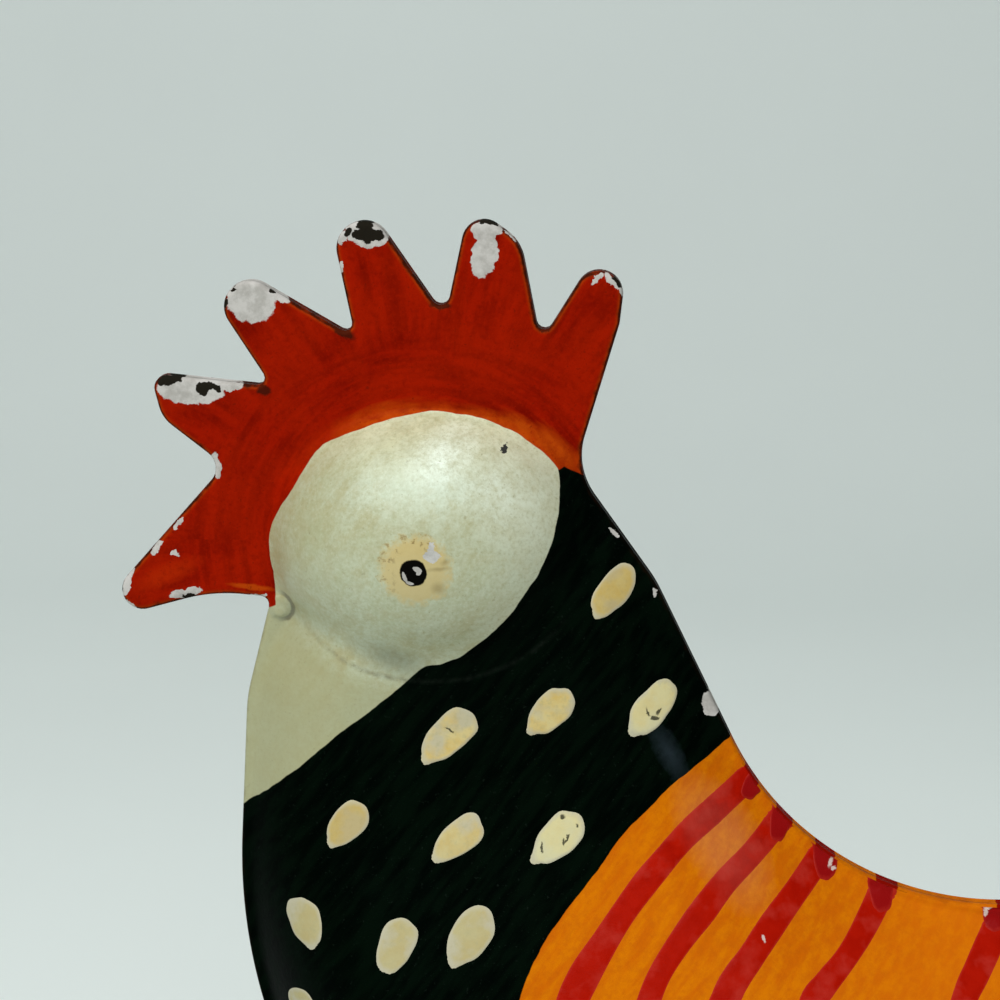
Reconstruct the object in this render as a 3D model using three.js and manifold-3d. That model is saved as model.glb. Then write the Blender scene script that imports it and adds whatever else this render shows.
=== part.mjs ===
// Painted sheet-iron rooster: two pressed half shells welded along their seam, on rod legs and plate feet.
// Millimetres. The pieces are set out with Y up and +Z out of the left flank, on a ground at Y = 0.
// The outer group then turns them to Z up, with the rooster facing -X and its seam in the plane Y = 0.
import * as THREE from 'three';
import { mergeVertices } from 'three/addons/utils/BufferGeometryUtils.js';
import Module from 'manifold-3d';

const { lerp, smoothstep } = THREE.MathUtils;

// Sheet, seam and the gap that is left between neighbouring pieces
const SHEET = 1.0;
const SEAM_THICKNESS = 1.0;
const SEAM_WIDTH = 2.4;
const FLANGE = 1.6;
const CLEARANCE = 0.3;

// Head: a pressed egg-shaped dome over the cheek, x measured from its centre
const HEAD_HEIGHT = 196.7;
const DOME_HALF_LENGTH = 24.2;
const DOME_HALF_HEIGHT = 19.8;
const DOME_RISE = 14.5;
const DOME_ROUNDNESS = 1.1;

// Comb from back to front: spikes with one or two round corners, and the notches between them. These and the
// beak's corners are each [x, y, radius] from the head's centre
const COMB_TIPS = [
  [[24.7, 34.0, 3.7], [25.2, 37.6, 3.6]],
  [[7.7, 41.4, 6.7], [8.2, 45.2, 3.3]],
  [[-9.5, 44.1, 4.1]],
  [[-26.5, 35.3, 4.0]],
  [[-39.3, 23.0, 2.0], [-35.6, 21.4, 5.2]],
];
const COMB_NOTCHES = [[17.2, 33.6, -1.1], [1.8, 37.3, -1.3], [-12.4, 33.0, -1.0], [-25.6, 24.7, -1.0]];
const BEAK_NOTCH = [-35.1, 10.9, -2.8];
const BEAK_TIP = [-43.9, -8.1, 3.2];
const BEAK_ARCH = [-30.5, -33.6, -25.0];
const BEAK_CORNER = [-25.8, -10.1, -1.2];
const NAPE = [33.3, 13.4, -10.4];

// Neck and body as round stretches of the outline, each [x, y, radius] from the head's centre
const THROAT = [-2.9, -28.4, 25.5];
const BREAST = [57.9, -51.7, 87.5];
const BELLY = [36.5, -70.0, 59.8];
const SADDLE = [86.4, -10.5, -44.8];
const NECK_BACK = [15.8, -16.6, 21.3];
const NECK_TOP = [2.0, -13.0, 22.0];

// Tail fan: its centre behind and below the head's, and round-ended feathers about it by angle and reach
const TAIL_BACK = 114.6;
const TAIL_DROP = 69.7;
const TAIL_ANGLES = [-8, 18, 43, 67, 90];
const TAIL_REACHES = [50.0, 55.0, 58.0, 60.0, 60.0];
const TAIL_TIP_RADIUS = 9.6;
const TAIL_NOTCH_REACH = 49.0;
const TAIL_NOTCH_RADIUS = 1.6;

// Round stretches of the outline where the tail joins the body, each [x, y, radius] from the tail's centre
const RUMP = [-15.6, -16.3, 28.0];
const TAIL_ROOT = [-10.6, -14.3, 24.0];
const TAIL_UNDERCUT = [24.4, -24.3, -6.0];
const TAIL_FRONT = [-22.6, 27.0, -12.5];

// Swell of each half out from its flange, the shoulder it rises over, and where these change: by level from the
// head's centre, and from a start before the tail's centre to an end behind it
const NECK_SWELL = 7.0;
const BODY_SWELL = 27.0;
const NECK_SHOULDER = 15.0;
const BODY_SHOULDER = 28.0;
const NECK_LEVEL = -25.0;
const BODY_LEVEL = -93.0;
const TAIL_SWELL_SHARE = 0.4;
const TAIL_SWELL_START = 46.6;
const TAIL_SWELL_END = 7.4;

// Legs, the strap inside that ties them, their welds and the feet
const LEG_X = 58.0;
const LEG_OFFSET = 18.0;
const LEG_RADIUS = 3.0;
const STRAP_RISE = 28.0;
const STRAP_WIDTH = 14.0;
const STRAP_THICKNESS = 3.0;
const COLLAR_WIDTH = 2.2;
const COLLAR_THICKNESS = 1.4;
const FOOT_THICKNESS = 3.0;
const FOOT_WELD = 3.0;
const FOOT_WELD_WAIST = 1.2;
const PALM_MARGIN = 1.2;
const TOE_ANGLES = [0, 27, -27, 180];
const TOE_REACHES = [34.0, 29.0, 29.0, 20.0];
const TOE_RADIUS = 2.8;
const FOOT_TURN = 12.0;

// Fineness of the faceted forms
const CHORD_ERROR = 0.12;
const RELIEF_STEP = 5.5;
const DOME_RINGS = 7;
const DOME_SIDES = 32;
const ROD_SIDES = 16;

const wasm = await Module();
wasm.setup();

// Distances out from the seam plane
const FLANGE_INNER = SEAM_THICKNESS / 2 + CLEARANCE;
const FLANGE_OUTER = FLANGE_INNER + SHEET;

function toSolid(geometry) {
  const bare = geometry.clone();
  bare.deleteAttribute('normal');
  bare.deleteAttribute('uv');
  const welded = mergeVertices(bare);
  return new wasm.Manifold(new wasm.Mesh({
    numProp: 3,
    vertProperties: new Float32Array(welded.attributes.position.array),
    triVerts: new Uint32Array(welded.index.array),
  }));
}

function toGeometry(solid) {
  const { vertProperties, triVerts } = solid.getMesh();
  const geometry = new THREE.BufferGeometry();
  geometry.setAttribute('position', new THREE.BufferAttribute(vertProperties, 3));
  geometry.setIndex(new THREE.BufferAttribute(triVerts, 1));
  geometry.computeVertexNormals();
  return geometry;
}

// The same form on the other side of the seam plane, with its faces still pointing out
function mirrored(geometry) {
  const copy = geometry.clone().scale(1, 1, -1);
  const index = copy.index.array;
  for (let i = 0; i < index.length; i += 3) {
    [index[i + 1], index[i + 2]] = [index[i + 2], index[i + 1]];
  }
  copy.computeVertexNormals();
  return copy;
}

// Outline round a ring of circles, taken anticlockwise: a positive radius is an outer corner and a negative
// one an inner corner, and straight runs join them. inset moves the whole outline inwards.
function outline(circles, inset = 0) {
  const rings = circles.map(([x, y, r]) => [x, y, r > 0 ? Math.max(r - inset, 0) : r - inset]);
  const headings = rings.map(([x, y, r], i) => {
    const [nextX, nextY, nextR] = rings[(i + 1) % rings.length];
    const lean = Math.asin((nextR - r) / Math.hypot(nextX - x, nextY - y));
    return Math.atan2(nextY - y, nextX - x) - lean;
  });
  const fullTurn = 2 * Math.PI;
  return rings.flatMap(([x, y, r], i) => {
    const start = headings.at(i - 1);
    const left = (((headings[i] - start) % fullTurn) + fullTurn) % fullTurn;
    const sweep = circles[i][2] > 0 ? left : left - fullTurn;
    const facet = 2 * Math.acos(1 - Math.min(CHORD_ERROR / Math.max(Math.abs(r), CHORD_ERROR), 1));
    const steps = r === 0 ? 0 : Math.max(1, Math.ceil(Math.abs(sweep) / facet));
    return Array.from({ length: steps + 1 }, (_, k) => {
      const heading = start + (steps ? (sweep * k) / steps : 0);
      return new THREE.Vector2(x + r * Math.sin(heading), y - r * Math.cos(heading));
    });
  });
}

function prism(points, from, to, hole) {
  const shape = new THREE.Shape(points);
  if (hole) {
    shape.holes.push(new THREE.Path(hole));
  }
  const geometry = new THREE.ExtrudeGeometry(shape, { depth: to - from, bevelEnabled: false });
  return geometry.translate(0, 0, from);
}

function fromHead([x, y, r]) {
  return [x, y + HEAD_HEIGHT, r];
}

function fromTail([x, y, r]) {
  return fromHead([x + TAIL_BACK, y - TAIL_DROP, r]);
}

function aboutTail(angle, reach, radius) {
  const turn = THREE.MathUtils.degToRad(angle);
  return fromTail([reach * Math.cos(turn), reach * Math.sin(turn), radius]);
}

// Whole outline of the sheet, from the throat round the belly, tail, back and comb to the beak
const tailFan = TAIL_ANGLES.flatMap((angle, i) => {
  const tip = aboutTail(angle, TAIL_REACHES[i], TAIL_TIP_RADIUS);
  const above = TAIL_ANGLES[i + 1];
  const last = above === undefined;
  return last ? [tip] : [tip, aboutTail((angle + above) / 2, TAIL_NOTCH_REACH, -TAIL_NOTCH_RADIUS)];
});
const comb = COMB_TIPS.flatMap((tip, i) => (i ? [COMB_NOTCHES[i - 1], ...tip] : tip));
const SILHOUETTE = [
  ...[BEAK_CORNER, THROAT, BREAST, BELLY].map(fromHead),
  ...[RUMP, TAIL_UNDERCUT].map(fromTail),
  ...tailFan,
  fromTail(TAIL_FRONT),
  ...[SADDLE, NECK_BACK, NAPE, ...comb, BEAK_NOTCH, BEAK_TIP, BEAK_ARCH].map(fromHead),
];

// Foot of the swelled part, inside the flange that runs round the neck and body
const CROWN = [
  ...[THROAT, BREAST, BELLY].map(fromHead),
  fromTail(TAIL_ROOT),
  ...[SADDLE, NECK_BACK, NECK_TOP].map(fromHead),
];
const crownFoot = outline(CROWN, FLANGE);

// How far a point lies inside the crown's foot, negative outside it
function crownDepth(x, y) {
  let nearest = Infinity;
  let inside = false;
  crownFoot.forEach((b, i) => {
    const a = crownFoot.at(i - 1);
    const along = (x - a.x) * (b.x - a.x) + (y - a.y) * (b.y - a.y);
    const share = Math.min(Math.max(along / a.distanceToSquared(b) || 0, 0), 1);
    nearest = Math.min(nearest, Math.hypot(x - lerp(a.x, b.x, share), y - lerp(a.y, b.y, share)));
    if ((a.y > y) !== (b.y > y) && x < lerp(a.x, b.x, (y - a.y) / (b.y - a.y))) {
      inside = !inside;
    }
  });
  return inside ? nearest : -nearest;
}

// Outer face of the swelled sheet, measured out from the seam plane and moved along its normal by offset
function crownFace(x, y, offset = 0) {
  const towardsNeck = smoothstep(y - HEAD_HEIGHT, BODY_LEVEL, NECK_LEVEL);
  const towardsTail = smoothstep(x, TAIL_BACK - TAIL_SWELL_START, TAIL_BACK + TAIL_SWELL_END);
  const swell = lerp(BODY_SWELL, NECK_SWELL, towardsNeck) * lerp(1, TAIL_SWELL_SHARE, towardsTail);
  const shoulder = lerp(BODY_SHOULDER, NECK_SHOULDER, towardsNeck);
  const share = Math.min(crownDepth(x, y) / shoulder, 1);
  const rise = share > 0 ? swell * (1 - (1 - share) ** 2) : 2 * swell * share;
  const slope = (2 * swell * (1 - Math.max(share, 0))) / shoulder;
  return FLANGE_OUTER + rise + offset * Math.hypot(1, slope);
}

// Block over the whole crown, from a floor deep below the seam up to the sheet's outer face moved by offset
function crownBlock(offset) {
  const floor = -BODY_SWELL;
  const box = new THREE.Box2().setFromPoints(crownFoot).expandByScalar(FLANGE);
  const size = box.getSize(new THREE.Vector2());
  const centre = box.getCenter(new THREE.Vector2());
  const columns = Math.ceil(size.x / RELIEF_STEP);
  const rows = Math.ceil(size.y / RELIEF_STEP);
  const block = new THREE.BoxGeometry(size.x, size.y, 1, columns, rows, 1).translate(centre.x, centre.y, 0);
  const place = block.attributes.position;
  for (let i = 0; i < place.count; i += 1) {
    const face = crownFace(place.getX(i), place.getY(i), offset);
    place.setZ(i, place.getZ(i) > 0 ? Math.max(face, floor + SHEET) : floor);
  }
  return toSolid(block);
}

// Dome of the head, from a flat floor up to its face moved inwards by offset
function domeBlock(offset, floor) {
  const peak = DOME_ROUNDNESS;
  const edge = Math.sqrt(peak ** 2 - 1);
  const profile = Array.from({ length: DOME_RINGS + 1 }, (_, i) => {
    const radius = Math.cos((i / DOME_RINGS) * (Math.PI / 2));
    const rise = (Math.sqrt(peak ** 2 - radius ** 2) - edge) / (peak - edge);
    return new THREE.Vector2(i === DOME_RINGS ? 0 : radius, FLANGE_OUTER - offset + rise * DOME_RISE);
  });
  const points = [new THREE.Vector2(0, floor), new THREE.Vector2(1, floor), ...profile];
  const dome = new THREE.LatheGeometry(points, DOME_SIDES).rotateX(Math.PI / 2);
  return toSolid(dome.scale(DOME_HALF_LENGTH - offset, DOME_HALF_HEIGHT - offset, 1).translate(0, HEAD_HEIGHT, 0));
}

function rod(radius, from, to) {
  const length = to - from;
  return new THREE.CylinderGeometry(radius, radius, length, ROD_SIDES)
    .translate(LEG_X, from + length / 2, LEG_OFFSET);
}

// Levels of the strap, a set height above the belly's lowest point, and of the two ends of a leg
const STRAP_LEVEL = HEAD_HEIGHT + BELLY[1] - BELLY[2] + STRAP_RISE;
const LEG_BOTTOM = FOOT_THICKNESS + CLEARANCE;
const LEG_TOP = STRAP_LEVEL - STRAP_THICKNESS / 2 - CLEARANCE;

// Half shell: flat flange, comb and tail with the swelled body and the dome pressed out of the same sheet
function shellGeometry() {
  const underside = FLANGE_INNER + SHEET / 4;
  const plate = toSolid(prism(outline(SILHOUETTE), FLANGE_INNER, FLANGE_OUTER));
  const trim = toSolid(prism(outline(SILHOUETTE, FLANGE / 2), underside, FLANGE_OUTER + 2 * BODY_SWELL));
  const outside = plate.add(crownBlock(0).intersect(trim)).add(domeBlock(0, underside));
  const inside = crownBlock(-SHEET).add(domeBlock(SHEET, -SHEET));
  const legHole = toSolid(rod(LEG_RADIUS + CLEARANCE, 0, LEG_TOP + CLEARANCE));
  return toGeometry(outside.subtract(inside).subtract(legHole));
}

// Weld bead between the two flanges, all the way round the outline
function seamWeldGeometry() {
  const half = SEAM_THICKNESS / 2;
  return prism(outline(SILHOUETTE), -half, half, outline(SILHOUETTE, SEAM_WIDTH));
}

// Weld collar round a leg, following the slope of the belly where the leg goes in
function legWeldGeometry() {
  const ring = toSolid(rod(LEG_RADIUS + COLLAR_WIDTH, FOOT_THICKNESS, LEG_TOP))
    .subtract(toSolid(rod(LEG_RADIUS + CLEARANCE, 0, STRAP_LEVEL)));
  const skin = crownBlock(CLEARANCE + COLLAR_THICKNESS).subtract(crownBlock(CLEARANCE));
  return toGeometry(ring.intersect(skin));
}

// Strap across the inside, ending just short of both shells at its closest corner
function strapGeometry() {
  const corners = [-1, 1].flatMap((sx) => [-1, 1].map((sy) => {
    const x = LEG_X + (sx * STRAP_WIDTH) / 2;
    return crownFace(x, STRAP_LEVEL + (sy * STRAP_THICKNESS) / 2, -SHEET);
  }));
  const half = Math.min(...corners) - 2 * CLEARANCE;
  return new THREE.BoxGeometry(STRAP_WIDTH, STRAP_THICKNESS, 2 * half).translate(LEG_X, STRAP_LEVEL, 0);
}

// Foot plate under a leg: a palm round the leg with toes that taper from it, turned outwards a little
function footGeometry() {
  const palm = LEG_RADIUS + CLEARANCE + FOOT_WELD + PALM_MARGIN;
  const toes = TOE_ANGLES.map((angle, i) => {
    const turn = THREE.MathUtils.degToRad(180 + angle + FOOT_TURN);
    const tip = [TOE_REACHES[i] * Math.cos(turn), TOE_REACHES[i] * Math.sin(turn), TOE_RADIUS];
    return toSolid(prism(outline([[0, 0, palm], tip]), 0, FOOT_THICKNESS));
  });
  const foot = toGeometry(toes.reduce((whole, toe) => whole.add(toe)));
  return foot.rotateX(-Math.PI / 2).translate(LEG_X, 0, LEG_OFFSET);
}

// Weld fillet round the foot of a leg
function footWeldGeometry() {
  const inner = LEG_RADIUS + CLEARANCE;
  const foot = inner + FOOT_WELD;
  const base = FOOT_THICKNESS + CLEARANCE;
  const profile = [
    [inner, base], [foot, base], [inner + FOOT_WELD_WAIST, base + FOOT_WELD_WAIST],
    [inner, base + FOOT_WELD], [inner, base],
  ].map(([r, y]) => new THREE.Vector2(r, y));
  return new THREE.LatheGeometry(profile, ROD_SIDES).translate(LEG_X, 0, LEG_OFFSET);
}

function mesh(name, geometry, color, roughness) {
  const material = new THREE.MeshStandardMaterial({ color, roughness, metalness: 0 });
  const piece = new THREE.Mesh(geometry, material);
  piece.name = name;
  return piece;
}

const BODY_PAINT = 0xc75b09;
const LEG_PAINT = 0xd08a1c;
const BARE_IRON = 0x33302b;
const PAINT_GLOSS = 0.35;
const IRON_GLOSS = 0.7;

const rooster = new THREE.Group();
const shell = shellGeometry();
rooster.add(mesh('left_shell', shell, BODY_PAINT, PAINT_GLOSS));
rooster.add(mesh('right_shell', mirrored(shell), BODY_PAINT, PAINT_GLOSS));
rooster.add(mesh('seam_weld', seamWeldGeometry(), BODY_PAINT, PAINT_GLOSS));
rooster.add(mesh('leg_strap', strapGeometry(), BARE_IRON, IRON_GLOSS));

const legPieces = {
  leg: mergeVertices(rod(LEG_RADIUS, LEG_BOTTOM, LEG_TOP)),
  leg_weld: legWeldGeometry(),
  foot: footGeometry(),
  foot_weld: mergeVertices(footWeldGeometry()),
};
for (const [name, geometry] of Object.entries(legPieces)) {
  rooster.add(mesh(`left_${name}`, geometry, LEG_PAINT, PAINT_GLOSS));
  rooster.add(mesh(`right_${name}`, mirrored(geometry), LEG_PAINT, PAINT_GLOSS));
}

// The middle of the rooster's length stands over the origin
const ends = new THREE.Box2().setFromPoints(outline(SILHOUETTE));
rooster.position.x = -(ends.min.x + ends.max.x) / 2;
rooster.rotation.x = Math.PI / 2;

export default rooster;
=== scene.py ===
import math
import random

import bmesh
import bpy
import numpy as np
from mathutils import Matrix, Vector, bvhtree, kdtree, noise


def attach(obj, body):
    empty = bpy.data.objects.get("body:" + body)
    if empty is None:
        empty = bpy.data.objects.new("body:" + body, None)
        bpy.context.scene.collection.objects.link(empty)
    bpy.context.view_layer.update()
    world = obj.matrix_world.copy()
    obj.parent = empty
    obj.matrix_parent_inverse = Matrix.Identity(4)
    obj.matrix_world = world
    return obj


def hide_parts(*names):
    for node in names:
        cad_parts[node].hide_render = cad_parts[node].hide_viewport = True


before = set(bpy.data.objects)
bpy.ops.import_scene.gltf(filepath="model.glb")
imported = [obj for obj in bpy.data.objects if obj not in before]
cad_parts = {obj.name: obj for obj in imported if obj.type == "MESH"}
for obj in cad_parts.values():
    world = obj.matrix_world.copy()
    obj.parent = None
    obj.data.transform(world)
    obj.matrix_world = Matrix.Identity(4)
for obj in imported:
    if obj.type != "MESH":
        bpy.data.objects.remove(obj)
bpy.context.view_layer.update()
MM = 0.001
random.seed(4)

# Head's centre in the frame. The rooster's sizes are in millimetres
HEAD_X, HEAD_Z = -64.716, 196.7

# Pressed sheet: its flat face and its rim, out from the seam plane, its thickness, the width and squareness
# of its rolled edge, and how far that edge lies inside the outline
FACE, RIM, SHEET = 1.8, 0.35, 0.9
ROLL, SQUARENESS, EDGE_EASE = 1.45, 4, 0.08

# Outline of the sheet, taken anticlockwise: round stretches as (x, y, radius) from the head's centre, with a
# positive radius at an outer corner and a negative one at an inner corner
THROAT, BREAST, BELLY = (-2.9, -28.4, 25.5), (57.9, -51.7, 87.5), (36.5, -70.0, 59.8)
SADDLE, NECK_BACK, NECK_TOP = (86.4, -10.5, -44.8), (15.8, -16.6, 21.3), (2.0, -13.0, 22.0)
RUMP, TAIL_ROOT = (99.0, -86.0, 28.0), (104.0, -84.0, 24.0)
TAIL_UNDERCUT, TAIL_FRONT = (139.0, -94.0, -6.0), (92.0, -42.7, -12.5)
TAIL_X, TAIL_Y = 114.6, -69.7
TAIL_ANGLES = (-8, 18, 43, 67, 90)
TAIL_REACHES = (50.0, 55.0, 58.0, 60.0, 60.0)
TAIL_TIP, TAIL_NOTCH, TAIL_NOTCH_REACH = 9.6, -1.6, 49.0
NAPE = (33.3, 13.4, -10.4)
COMB = [
    (24.7, 34.0, 3.7), (25.2, 37.6, 3.6), (17.2, 33.6, -1.1), (7.7, 41.4, 6.7), (8.2, 45.2, 3.3),
    (1.8, 37.3, -1.3), (-9.5, 44.1, 4.1), (-12.4, 33.0, -1.0), (-26.5, 35.3, 4.0), (-25.6, 24.7, -1.0),
    (-39.3, 23.0, 2.0), (-35.6, 21.4, 5.2),
]
BEAK = [(-35.1, 10.9, -2.8), (-43.9, -8.1, 3.2), (-30.5, -33.6, -25.0)]
BEAK_CORNER = (-25.8, -10.1, -1.2)

# Small round boss behind the beak: (x, y, radius), its rise and the share of its radius that is flat
NUB = (-22.7, -10.1, 2.0)
NUB_RISE, NUB_FLAT = 0.55, 0.7

# Swell of the neck and body, and the egg-shaped dome of the head, with the widths over which they blend
FLANGE = 1.6
NECK_SWELL, BODY_SWELL = 7.0, 27.0
NECK_SHOULDER, BODY_SHOULDER = 15.0, 28.0
NECK_LEVEL, BODY_LEVEL = -25.0, -93.0
TAIL_SWELL_SHARE, TAIL_SWELL_START, TAIL_SWELL_END = 0.4, 68.0, 122.0
DOME_LENGTH, DOME_HEIGHT, DOME_RISE, DOME_ROUNDNESS = 24.2, 19.8, 14.5, 1.1
CROWN_BLEND, DOME_BLEND = 1.0, 3.2

# Levels between which the belly's underside lies, and shallow dents: depth, spacing and the swell over
# which they begin
BELLY_BOTTOM, BELLY_TOP = -129.6, -95.0
DENT, DENT_SPACING, DENT_START = 0.16, 13, 3

# Squares that the flat sheet is cut into before it swells, as (low corner, high corner, pitch), with finer
# ones for the dome and for the legs' holes
SHEET_SQUARES = ((-48, 0, -130), (176, 0, 49), 1.6)
DOME_SQUARES = ((-32, 0, -26), (34, 0, 26), 0.5)
HOLE_PITCH = 0.4

# Legs and their holes in the belly, and feet with toes as (angle, length)
LEG_X, LEG_OFFSET, LEG_RADIUS, HOLE_CLEARANCE = 58.0, 18.0, 3.0, 0.6
LEG_BOTTOM, LEG_TOP, LEG_RINGS = 3.3, 93.1, 40
FOOT_THICKNESS, PALM, TOE, FOOT_TURN = 3.0, 7.5, 2.8, 12.0
FOOT_INSET, FOOT_EASE = 0.05, 0.45
TOES = ((0, 34.0), (27, 29.0), (-27, 29.0), (180, 20.0))

# Sections of the welds: the collar's as (radius, drop below the belly), the fillet's as (radius, level) and
# the bead's as (inset from the edge, out from the seam plane), with the depth and spacing of its hollows
COLLAR = ((3.08, 1.75), (3.6, 1.8), (4.2, 1.5), (4.75, 0.95), (5.1, 0.35), (5.0, 0.06), (3.08, 0.06))
FILLET = (
    (3.06, 3.04), (6.1, 3.04), (5.6, 3.4), (4.7, 3.9), (4.0, 4.6), (3.6, 5.4), (3.3, 6.1), (3.06, 6.2),
)
BEAD = ((0.0, 0.33), (0.0, 0.12), (0.0, -0.12), (0.02, -0.33), (1.5, -0.33), (1.5, 0.33))
BEAD_HOLLOW, BEAD_SPACING = 0.08, 2.5

# Raised paint: how deep a mark's border sits in the sheet, how far marks stop from the sheet's edge, rings of
# a dab as shares of its size and height, and rows of a stroke as shares of its half width. Points that are
# squeezed together at the edge merge, and faces of almost no area go
MARK_SINK, MARK_MARGIN = 0.06, 0.3
MARK_MERGE, SLIVER = 0.01, 1e-4
DAB_RINGS = ((0.94, 0.6), (0.84, 1.0), (0.5, 0.9), (0.15, 0.9))
STROKE_ROWS, STROKE_HEIGHT = (-1.0, -0.86, -0.4, 0.4, 0.86, 1.0), 0.05


def tail_point(angle, reach, radius):
    turn = math.radians(angle)
    return TAIL_X + reach * math.cos(turn), TAIL_Y + reach * math.sin(turn), radius


def tail_fan():
    fan = []
    for i, (angle, reach) in enumerate(zip(TAIL_ANGLES, TAIL_REACHES)):
        fan.append(tail_point(angle, reach, TAIL_TIP))
        if i + 1 < len(TAIL_ANGLES):
            fan.append(tail_point((angle + TAIL_ANGLES[i + 1]) / 2, TAIL_NOTCH_REACH, TAIL_NOTCH))
    return fan


def outline(circles, step):
    """Points and outward normals round a ring of circles, joined by straight runs."""
    headings = []
    for i, (x, y, r) in enumerate(circles):
        next_x, next_y, next_r = circles[(i + 1) % len(circles)]
        lean = math.asin((next_r - r) / math.hypot(next_x - x, next_y - y))
        headings.append(math.atan2(next_y - y, next_x - x) - lean)
    points = []
    for i, (x, y, r) in enumerate(circles):
        left = (headings[i] - headings[i - 1]) % math.tau
        sweep = left if r > 0 else left - math.tau
        count = max(3, math.ceil(abs(sweep * r) / step))
        for k in range(count + 1):
            heading = headings[i - 1] + sweep * k / count
            normal = Vector((math.sin(heading), -math.cos(heading)))
            points.append((Vector((x, y)) + r * normal, normal))
        next_x, next_y, next_r = circles[(i + 1) % len(circles)]
        start, normal = points[-1]
        end = Vector((next_x, next_y)) + next_r * normal
        runs = max(1, round((end - start).length / step))
        points += [(start.lerp(end, k / runs), normal) for k in range(1, runs)]
    return points


SILHOUETTE = [
    BEAK_CORNER, THROAT, BREAST, BELLY, RUMP, TAIL_UNDERCUT, *tail_fan(), TAIL_FRONT,
    SADDLE, NECK_BACK, NAPE, *COMB, *BEAK,
]
EDGE = [(point - EDGE_EASE * normal, normal) for point, normal in outline(SILHOUETTE, 0.6)]
EDGE_TREE = kdtree.KDTree(len(EDGE))
for index, (point, normal) in enumerate(EDGE):
    EDGE_TREE.insert(point.to_3d(), index)
EDGE_TREE.balance()
CROWN = [THROAT, BREAST, BELLY, TAIL_ROOT, SADDLE, NECK_BACK, NECK_TOP]
CROWN_LOOP = [point - FLANGE * normal for point, normal in outline(CROWN, 1.2)]


def inside_by(x, y, loop):
    """How far points lie inside a closed loop, negative outside it."""
    depth = np.empty(len(x))
    ends = np.array(loop)
    starts = np.roll(ends, 1, axis=0)
    runs = ends - starts
    lengths = np.maximum((runs ** 2).sum(1), 1e-12)
    slopes = runs[:, 0] / np.where(runs[:, 1] == 0, 1e-12, runs[:, 1])
    for first in range(0, len(x), 1000):
        part = slice(first, first + 1000)
        from_x, from_y = x[part, None] - starts[:, 0], y[part, None] - starts[:, 1]
        share = np.clip((from_x * runs[:, 0] + from_y * runs[:, 1]) / lengths, 0, 1)
        near = np.hypot(from_x - share * runs[:, 0], from_y - share * runs[:, 1]).min(1)
        level = (from_y < 0) != (y[part, None] < ends[:, 1])
        crossed = (level & (from_x < from_y * slopes)).sum(1)
        depth[part] = np.where(crossed % 2 == 1, near, -near)
    return depth


def edge_depth(x, y):
    """How far a point lies inside the sheet's outline, and the place and normal of the outline next to it."""
    point, normal = EDGE[EDGE_TREE.find((x, y, 0))[1]]
    return (point - Vector((x, y))).dot(normal), point, normal


def smoothstep(value, low, high):
    share = np.clip((value - low) / (high - low), 0, 1)
    return share * share * (3 - 2 * share)


def smooth_max(a, b, blend):
    gap = np.maximum(blend - np.abs(a - b), 0)
    return np.maximum(a, b) + gap * gap / (4 * blend)


def sheet_face(x, y):
    """Distance of the sheet's outer face from the seam plane, with its swell, dome and rolled edge."""
    x, y = np.asarray(x, float), np.asarray(y, float)
    neck = smoothstep(y, BODY_LEVEL, NECK_LEVEL)
    tail = smoothstep(x, TAIL_SWELL_START, TAIL_SWELL_END)
    swell = (BODY_SWELL + (NECK_SWELL - BODY_SWELL) * neck) * (1 + (TAIL_SWELL_SHARE - 1) * tail)
    shoulder = BODY_SHOULDER + (NECK_SHOULDER - BODY_SHOULDER) * neck
    share = np.clip(inside_by(x, y, CROWN_LOOP) / shoulder, -1, 1)
    crown = swell * np.where(share > 0, 1 - (1 - share) ** 2, 2 * share)
    ring = np.hypot(x / DOME_LENGTH, y / DOME_HEIGHT)
    foot = math.sqrt(DOME_ROUNDNESS ** 2 - 1)
    cap = np.sqrt(DOME_ROUNDNESS ** 2 - np.minimum(ring, 1) ** 2) - foot
    dome = DOME_RISE * np.where(ring < 1, cap, (1 - ring) / foot) / (DOME_ROUNDNESS - foot)
    nub = NUB_RISE * smoothstep(np.hypot(x - NUB[0], y - NUB[1]), NUB[2], NUB_FLAT * NUB[2])
    crown = smooth_max(crown, np.zeros_like(crown), CROWN_BLEND)
    face = FACE + smooth_max(crown, dome, DOME_BLEND) + nub
    roll = np.clip(np.array([edge_depth(*p)[0] for p in zip(x, y)]) / ROLL, 0, 1)
    return RIM + (face - RIM) * (1 - (1 - roll) ** SQUARENESS) ** (1 / SQUARENESS)


def belly_level(x, out):
    """Level at which the underside of the belly lies out from the seam plane by a distance."""
    low, high = np.full(len(x), BELLY_BOTTOM), np.full(len(x), BELLY_TOP)
    for _ in range(24):
        middle = (low + high) / 2
        reached = sheet_face(x, middle) > out
        low, high = np.where(reached, low, middle), np.where(reached, middle, high)
    return high


def finish_mesh(bm, name, material, shift, replaced=None, facing=0):
    """Turns a bmesh in millimetres into an object in the frame that rides on the one rigid body."""
    bmesh.ops.translate(bm, verts=bm.verts, vec=shift)
    bmesh.ops.scale(bm, verts=bm.verts, vec=(MM, MM, MM))
    bmesh.ops.recalc_face_normals(bm, faces=bm.faces)
    if facing * sum(f.normal.y * f.calc_area() for f in bm.faces) < 0:
        bmesh.ops.reverse_faces(bm, faces=bm.faces)
    for face in bm.faces:
        face.smooth = True
    mesh = bpy.data.meshes.new(name)
    bm.to_mesh(mesh)
    bm.free()
    mesh.materials.append(material)
    piece = bpy.data.objects.new(name, mesh)
    bpy.context.scene.collection.objects.link(piece)
    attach(piece, "root")
    if replaced:
        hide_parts(replaced)
    return piece


def edges_of(verts):
    """Edges that meet a row of verts, each once and always in the same order."""
    return list(dict.fromkeys(e for v in verts for e in v.link_edges))


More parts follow.
